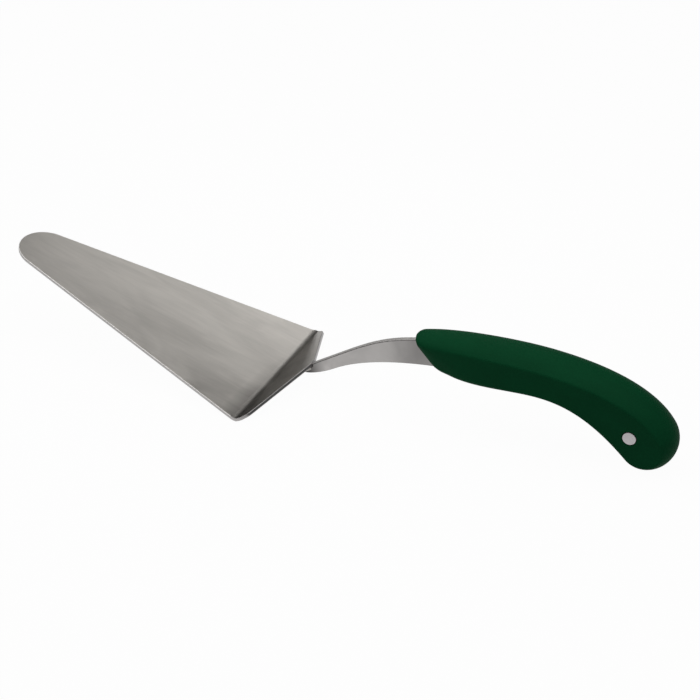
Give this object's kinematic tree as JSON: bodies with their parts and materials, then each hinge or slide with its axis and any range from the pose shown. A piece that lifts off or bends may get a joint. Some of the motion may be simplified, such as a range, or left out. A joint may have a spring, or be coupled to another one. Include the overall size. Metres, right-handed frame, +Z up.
{
  "type": "pizza server",
  "caption": "Wedge-shaped steel server with an upturned heel, a curved flat neck and a soft curved grip, for lifting and serving slices.",
  "frame": {"origin": "centre of the server's footprint, on the table that it rests on", "axes": "+X from the blade's tip to the grip's end, +Y to the server's left with the grip towards the user, +Z up from the table"},
  "size_m": [0.3234, 0.0852, 0.0444],
  "materials": {
    "blade_steel": "satin, fine brushing along the blade",
    "bar_steel": "satin",
    "weld_steel": "ground weld",
    "core_plastic": "plain moulded",
    "soft_grip": "matte soft touch, fine grain",
    "rivet_steel": "satin, turned face"
  },
  "bodies": {
    "root": {"blade": "blade_steel", "tang_bar": "bar_steel", "weld_bead_left": "weld_steel", "weld_bead_right": "weld_steel", "grip_core_left": "core_plastic", "grip_core_right": "core_plastic", "grip_skin": "soft_grip", "rivet_stud": "rivet_steel", "rivet_socket": "rivet_steel"}
  },
  "joints": []
}
